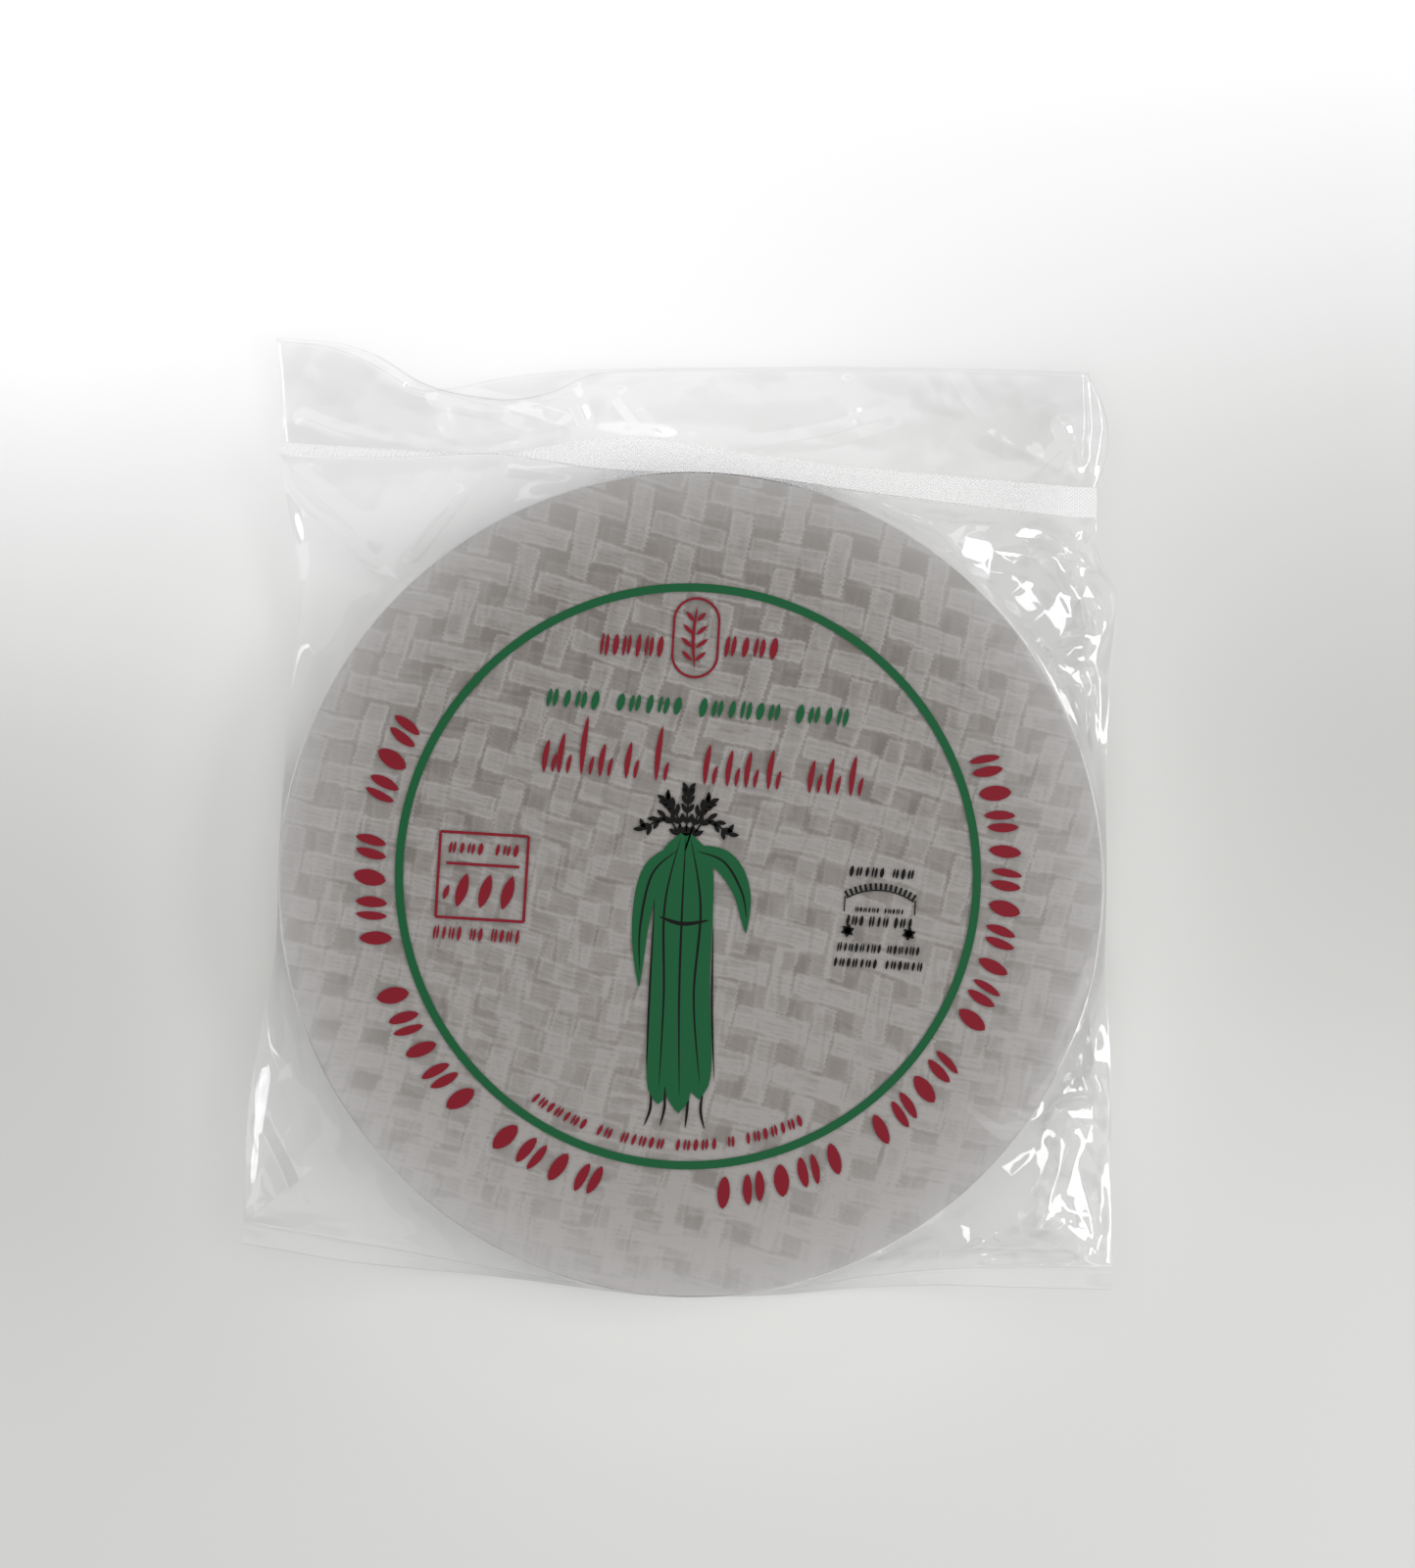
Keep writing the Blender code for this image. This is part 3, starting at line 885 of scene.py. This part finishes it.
# %% Header films
OPEN_EDGE_FRONT = [(-120.9, 140.2), (-104.3, 139.9), (-93.5, 137.1), (-81.0, 130.6), (-70.2, 128.0),
                   (-57.0, 127.4),
                   (-46.0, 130.0), (-34.0, 135.7), (6.0, 139.7), (42.8, 142.1), (69.6, 143.2), (98.8, 144.2)]
OPEN_EDGE_BACK = [(-120.9, 139.8), (-105.0, 138.5), (-94.0, 134.6), (-82.6, 129.0), (-74.4, 129.2),
                  (-60.0, 133.1),
                  (-40.0, 136.4), (6.0, 140.2), (42.8, 142.5), (69.6, 143.6), (98.8, 144.4)]
HEADER_FOLDS_FRONT = [
    ([(-112, 119), (-93, 113), (-81, 111)], 1.0, 3.0),
    ([(-92, 137.5), (-80, 131), (-66, 128.6), (-50, 130)], 2.2, 2.0),
    ([(-84, 129.5), (-64, 125.5), (-48, 127)], -1.6, 1.8),
    ([(-58, 112), (-40, 117), (-26, 120), (-14, 117)], 1.1, 3.5),
    ([(-40, 131), (-36, 123)], 1.0, 2.5),
    ([(-27, 130), (-16, 117)], 1.1, 3.0),
    ([(4, 117), (30, 123), (46, 129)], 0.8, 3.5),
    ([(34, 138), (37, 128)], 0.7, 2.0),
    ([(93, 129), (97, 122), (97, 112)], 1.9, 3.5),
    ([(94, 124), (84, 113)], 1.3, 3.5),
    ([(97, 144), (98, 131), (98, 121)], 2.2, 2.6),
    ([(101, 141), (103, 129), (101, 113)], 1.4, 2.2),
]
HEADER_FOLDS_BACK = [([(-76, 128), (-58, 125), (-42, 121)], 1.0, 4.0),
                     ([(60, 142), (72, 126), (92, 118)], 1.0, 4.5)]
HEADER_SAG = 3.4
COLLAR_GAP = 1.3
OPEN_CURL = 1.5
SIDE_CURL = 0.9
TURNED_END = 4.5


def header_place(side, open_edge, folds):
    def place(s, t):
        low = band_place(BAND_LEFT + (BAND_RIGHT - BAND_LEFT) * s, 0.5)
        high_x = open_edge[0][0] + (open_edge[-1][0] - open_edge[0][0]) * s
        x = low.x + (high_x - low.x) * t + TURNED_END * math.sin(math.pi * t) * ease(0.80, 1.0, s)
        y = low.y + (follow(open_edge, high_x) - low.y) * t
        belly = math.sin(math.pi * min(1.0, t * 0.9))
        z = low.z + (HEADER_SAG - low.z) * t + side * COLLAR_GAP * ease(0, 0.8, t) * (0.55 + 0.45 * belly)
        wave = noise.noise(Vector((x / 19, y / 15,
                                   5.0 + side))) + 0.4 * noise.noise(Vector((x / 7, y / 6, side)))
        held = ease(0, 0.25, t)
        z += held * (0.7 * wave + 0.10 * dents(x, y, 7 + side) + long_folds(x, y, folds))
        if side > 0:
            z += 0.15
        z += OPEN_CURL * math.exp(-((1 - t) / 0.012) ** 2)
        z -= side * SIDE_CURL * (math.exp(-(s / 0.002) ** 2) + math.exp(-((1 - s) / 0.002) ** 2))
        return x, y, max(z, 0.6 + 0.4 * side)

    return place


def build_header(name, side, open_edge, folds):
    shape = bmesh.new()
    lay_grid(shape, 560, 96, header_place(side, open_edge, folds))
    return add_piece(name, shape, clear_film)


header_front = build_header("header_front", 1, OPEN_EDGE_FRONT, HEADER_FOLDS_FRONT)
header_back = build_header("header_back", -1, OPEN_EDGE_BACK, HEADER_FOLDS_BACK)

# %% [markdown]
# ## The foot
#
# Below the weld both films go on for six millimetres as one skirt. At the corners it lies flat; under the
# stack it is pulled down over the edge.

# %% Foot skirt
SKIRT_WIDTH = 6.2
SKIRT_DROP = [(-115, 6), (-85, 22), (-55, 55), (-28, 74), (0, 80), (28, 74), (56, 52), (84, 28), (105, 10),
              (120, 4)]


def skirt_place(s, t):
    top = pouch_edge(0.5 + 0.25 * s)
    drop = math.radians(follow(SKIRT_DROP, top.x))
    weld = 0.25 * math.exp(-((t - 0.12) / 0.05) ** 2)
    ripple = 0.5 * t * noise.noise(Vector((top.x / 6, 2.0, t)))
    lip = 1.1 * ease(0.93, 1.0, t)
    z = top.z - SKIRT_WIDTH * t * math.sin(drop) + weld + ripple - lip
    return top.x, top.y - SKIRT_WIDTH * t * math.cos(drop), max(0.7, z)


def build_skirt():
    shape = bmesh.new()
    lay_grid(shape, 480, 24, skirt_place)
    bmesh.ops.recalc_face_normals(shape, faces=shape.faces)
    if sum(face.normal.z for face in shape.faces) < 0:
        bmesh.ops.reverse_faces(shape, faces=shape.faces)
    return add_piece("foot_skirt", shape, clear_film)


foot_skirt = build_skirt()

# %% [markdown]
# ## Ink
#
# The print sits on the front film in three inks. Every mark is one kind of thing: a ribbon laid along a path,
# with a width that can swell and taper on the way. A straight path with an even width is a bar, a swelling
# width makes a grain or a leaf, and a circle makes the ring. Where a pack would carry words, rows of small
# grains and sprigs of the same size take their place.

# %% One stroke of ink
INK_HEIGHT = STACK_TOP + FILM_GAP + 0.08
inks = {name: bmesh.new() for name in ("green", "red", "black")}


def stroke(ink, path, width, steps=10, lift=0.0):
    """Lays a ribbon of ink along path(s), with the width given as a number or as a function of s."""
    lift += len(inks[ink].verts) // 2 % 7 * 0.005
    def place(s, t):
        here, ahead, behind = Vector(path(s)), Vector(path(min(1, s + 0.01))), Vector(path(max(0, s - 0.01)))
        run = (ahead - behind).normalized()
        broad = width(s) if callable(width) else width
        offset = (t - 0.5) * broad
        return here.x - run.y * offset, here.y + run.x * offset, INK_HEIGHT + lift

    lay_grid(inks[ink], steps, 1, place)


def straight(start, stop):
    return lambda s: (start[0] + (stop[0] - start[0]) * s, start[1] + (stop[1] - start[1]) * s)


def bend(*points):
    return lambda s: tuple(curve_point(points, s))


def turn(centre, radius, start, stop):
    """Part of a circle, from one angle to the other in degrees."""
    def path(s):
        angle = math.radians(start + (stop - start) * s)
        return centre[0] + radius * math.cos(angle), centre[1] + radius * math.sin(angle)

    return path


def grain(broad):
    """Width of a grain: pointed at both ends."""
    return lambda s: max(0.02, broad * math.sin(math.pi * min(0.999, s)) ** 0.75)


def frame_of(centre, angle):
    """Turns offsets measured along and up a tilted mark into places on the print."""
    across = (math.cos(math.radians(angle)), math.sin(math.radians(angle)))
    return lambda along, up: (centre[0] + across[0] * along - across[1] * up,
                              centre[1] + across[1] * along + across[0] * up)


# %% Rows of marks
def sprig(ink, centre, angle, size, kind):
    """One mark of a row: one or two grains of rice that lean the same way, upright at angle zero."""
    at = frame_of(centre, angle)
    wide, high = size
    arrangements = (
        ((-0.38, -0.50, -0.14, 0.46, 0.40), (0.12, -0.46, 0.36, 0.50, 0.40)),
        ((-0.14, -0.50, 0.14, 0.50, 0.66),),
        ((-0.38, -0.46, -0.14, 0.50, 0.34), (0.12, -0.50, 0.36, 0.46, 0.44)),
        ((-0.10, -0.50, 0.18, 0.50, 0.54),),
    )
    for x0, y0, x1, y1, broad in arrangements[kind]:
        foot, middle, tip = at(x0 * wide, y0 * high), at((x0 + x1) * 0.56 * wide, 0.5 * (y0 + y1) * high), \
            at(x1 * wide, y1 * high)
        stroke(ink, bend(foot, middle, tip), grain(broad * wide), steps=8)


def row(ink, left, right, high, groups, gap=0.8):
    """A straight row of sprigs in groups, as words stand in a line."""
    slots = sum(groups) + gap * (len(groups) - 1)
    step = (right[0] - left[0]) / slots
    tilt = math.degrees(math.atan2(right[1] - left[1], right[0] - left[0]))
    place, number = 0.5, 0
    for count in groups:
        for _ in range(count):
            share = place / slots
            centre = (left[0] + (right[0] - left[0]) * share, left[1] + (right[1] - left[1]) * share)
            sprig(ink, centre, tilt, (step * 0.82, high * (0.92 if number % 3 else 1.0)),
                  (number * 3 + count) % 4)
            place += 1
            number += 1
        place += gap


def arc_row(ink, centre, radius, start, stop, high, groups, gap=0.9):
    """A row of sprigs round a circle, their feet towards its centre when the circle is run clockwise."""
    slots = sum(groups) + gap * (len(groups) - 1)
    step = math.radians(abs(stop - start)) * radius / slots
    feet = -90 if stop < start else 90
    place, number = 0.5, 0
    for count in groups:
        for _ in range(count):
            angle = start + (stop - start) * place / slots
            spot = turn(centre, radius, angle, angle)(0)
            sprig(ink, spot, angle + feet, (step * 0.80, high), (number * 3 + count) % 4)
            place += 1
            number += 1
        place += gap


# %% Ring, rows and arcs
RING_CENTRE = (-0.9, 2.1)
stroke("green", turn(RING_CENTRE, 77.0, 0, 360), 2.2, steps=240)
arc_row("red", RING_CENTRE, 84.8, 258, 153.5, 8.6, (4, 5, 4, 3))
arc_row("red", RING_CENTRE, 84.8, 26.5, -82.5, 8.6, (10, 4, 5))
arc_row("red", RING_CENTRE, 71.6, 238, 299, 3.2, (7, 2, 5, 5, 1, 7))
row("green", (-41.7, 47.5), (39.6, 47.0), 5.3, (4, 5, 6, 4))
row("red", (-28.3, 62.5), (-10.5, 62.8), 6.4, (6,))
row("red", (4.8, 63.9), (20.2, 64.1), 6.0, (4,))

# %% Tall row of grass blades
BLADES = [(-41, 9), (-37, 11), (-31, 16), (-26, 9), (-19, 10), (-11, 15), (-3, 0), (2, 11), (8, 10),
          (13, 10), (19, 11),
          (25, 0), (30, 9), (35, 10), (41, 11)]
for x, high in BLADES:
    if high:
        foot = 33.0 - 0.018 * (x + 41) - 5.6
        stroke("red", bend((x, foot), (x + 0.2, foot + high * 0.5), (x + 1.0, foot + high)), grain(1.5))
        stroke("red", bend((x + 2.3, foot + 0.2), (x + 2.5, foot + 2.8), (x + 3.1, foot + 5.4)), grain(1.1))

# %% Seal with a sprig
SEAL = (-2.7, 65.7)
SEAL_WIDE, SEAL_HIGH = 12.0, 21.0


def stadium(centre, wide, high):
    """A closed outline with straight sides and round ends."""
    round_part, side = math.pi * wide / 2, high - wide
    total = 2 * (round_part + side)

    def path(s):
        away = s % 1 * total
        for begin, x_sign in ((0, 1), (round_part + side, -1)):
            here = away - begin
            if here < 0 or here >= round_part + side:
                continue
            if here < side:
                return centre[0] + x_sign * wide / 2, centre[1] + x_sign * (here - side / 2)
            angle = (here - side) / (wide / 2) + (0 if x_sign > 0 else math.pi)
            across = centre[0] + wide / 2 * math.cos(angle)
            return across, centre[1] + x_sign * side / 2 + wide / 2 * math.sin(angle)
        return centre[0] + wide / 2, centre[1] - side / 2

    return path


stroke("red", stadium(SEAL, SEAL_WIDE, SEAL_HIGH), 0.65, steps=96)
stroke("red", bend((-2.6, 57.4), (-3.4, 66), (-2.8, 74)), grain(0.9))
for height, reach in ((59.5, 3.2), (63.0, 3.6), (66.5, 3.2), (70.0, 2.6)):
    for side in (-1, 1):
        stroke("red", straight((-3 + side * 0.4, height), (-3 + side * reach, height + 2.6)), grain(1.1),
               steps=6)

# %% Rice plant in the middle
def swell(pairs):
    return lambda s: max(0.05, follow(pairs, s))


LEAVES = [
    ([(-3.4, 12.5), (-6.6, -6), (-5.4, -30), (-5.2, -59)],
     [(0, 2), (0.14, 8), (0.36, 5.5), (0.75, 8), (0.93, 6), (1, 0.2)]),
    ([(-0.8, 12.5), (3.0, -6), (2.6, -30), (5.6, -57)],
     [(0, 2), (0.14, 8.5), (0.36, 6.5), (0.75, 9), (0.92, 6.5), (1, 0.2)]),
    ([(-2.1, 13.5), (-1.9, -8), (-1.2, -32), (0.4, -61)],
     [(0, 3), (0.1, 9), (0.36, 8), (0.75, 9), (0.93, 6), (1, 0.2)]),
    ([(-4, 9), (-10.5, 2), (-12.8, -12), (-12.2, -28)], [(0, 3), (0.3, 5.8), (0.7, 4.2), (1, 0.2)]),
    ([(1, 9), (8.5, 6.5), (13.6, -1), (15.4, -12)], [(0, 3), (0.35, 6.0), (0.7, 4.4), (1, 0.2)]),
]
for line, widths in LEAVES:
    stroke("green", bend(*line), swell(widths), steps=32)
    vein = [line[0], line[1], line[2], (line[3][0], line[3][1] + 4)]
    stroke("black", bend(*vein), grain(0.6), steps=24, lift=0.05)
for start, middle, stop in (((-9.4, -4), (-9.2, -32), (-8.8, -50)), ((6.6, -10), (7.6, -32), (9.4, -52))):
    stroke("black", bend(start, middle, stop), grain(0.55), steps=16, lift=0.05)
stroke("black", bend((-8.0, -9.0), (-1.6, -10.6), (5.6, -9.2)), grain(1.1), lift=0.05)
for foot, tip in ((-7.5, -8.6), (-3.6, -4.4), (2.8, 2.4), (6.6, 7.6)):
    stroke("black", bend((foot, -54), (foot * 0.95, -60), (tip, -65)), grain(0.7))

# %% Ear of grain over the plant
for lean in (-2, -1, 0, 1, 2):
    stem = bend((-2.1, 9.0), (-2.1 + 2.6 * lean, 18.5 - 0.5 * abs(lean)),
                (-2.1 + 5.6 * lean, 24.6 - 2.7 * lean * lean))
    stroke("black", stem, 0.5, steps=16)
    for number in range(6):
        share = 0.22 + 0.15 * number
        here, ahead = Vector(stem(share)), Vector(stem(min(1.0, share + 0.05)))
        angle = math.degrees(math.atan2(ahead.y - here.y,
                                        ahead.x - here.x)) if share < 0.95 else 90 - 30 * lean
        for side in (-1, 1):
            at = frame_of(here, angle + side * 28)
            stroke("black", straight(at(0.1, 0), at(3.2, side * 0.2)), grain(1.25), steps=6)

# %% Framed box
BOX_LEFT, BOX_RIGHT, BOX_LOW, BOX_HIGH, BOX_SPLIT = -67.4, -43.9, -12.7, 10.1, 1.8
for start, stop in (((BOX_LEFT, BOX_LOW), (BOX_RIGHT, BOX_LOW)),
                    ((BOX_RIGHT, BOX_LOW), (BOX_RIGHT, BOX_HIGH)),
                    ((BOX_RIGHT, BOX_HIGH), (BOX_LEFT, BOX_HIGH)),
                    ((BOX_LEFT, BOX_HIGH), (BOX_LEFT, BOX_LOW)),
                    ((BOX_LEFT + 2, BOX_SPLIT), (BOX_RIGHT - 2, BOX_SPLIT))):
    stroke("red", straight(start, stop), 0.75, steps=1)
row("red", (-65.2, 6.0), (-45.8, 6.0), 3.4, (4, 3))
for x in (-60.8, -54.6, -48.6):
    stroke("red", straight((x - 1.2, -9.8), (x + 1.2, -0.6)), grain(3.0))
stroke("red", straight((-65.6, -8), (-64.4, -4)), grain(1.4))
row("red", (-68.0, -16.8), (-44.4, -16.8), 4.0, (4, 2, 4))

# %% Small stamp
row("black", (41.6, 6.2), (59.4, 6.2), 3.0, (5, 3))
stroke("black", turn((50.6, -15.5), 17.0, 58, 122), 0.35, steps=24)
for number in range(15):
    angle = 60 + number * 60 / 14
    spots = [turn((50.6, -15.5), radius, angle, angle)(0) for radius in (17.2, 18.9)]
    stroke("black", straight(*spots), 0.65, steps=1)
for x in (41.2, 60.0):
    stroke("black", straight((x, -0.6), (x, -4.6)), 0.35, steps=1)
row("black", (44.0, -3.9), (57.2, -3.9), 1.6, (6, 5))
row("black", (41.4, -6.9), (59.8, -6.9), 3.2, (3, 3, 3), gap=0.5)
for x, y in ((42.5, -9.7), (58.8, -9.6)):
    for angle in (20, 80, 140):
        at = frame_of((x, y), angle)
        stroke("black", straight(at(-1.9, 0), at(1.9, 0)), grain(1.5), steps=6)
row("black", (39.8, -14.1), (62.2, -14.1), 2.7, (8, 6))
row("black", (38.8, -18.2), (63.1, -18.2), 2.7, (7, 6))

# %% Ink materials and pieces
INK_COLOURS = {"green": screen_colour(19, 82, 47), "red": screen_colour(117, 20, 33),
               "black": screen_colour(7, 6, 5)}


def build_ink(name):
    material, tree, shader = new_material(f"{name}_ink")
    shader.inputs["Base Color"].default_value = INK_COLOURS[name]
    shader.inputs["Roughness"].default_value = 0.6
    shader.inputs["Specular IOR Level"].default_value = 0.12
    shape = inks[name]
    bmesh.ops.recalc_face_normals(shape, faces=shape.faces)
    down = [face for face in shape.faces if face.normal.z < 0]
    bmesh.ops.reverse_faces(shape, faces=down)
    return add_piece(f"{name}_print", shape, material, smooth=False)


for ink_name in inks:
    build_ink(ink_name)
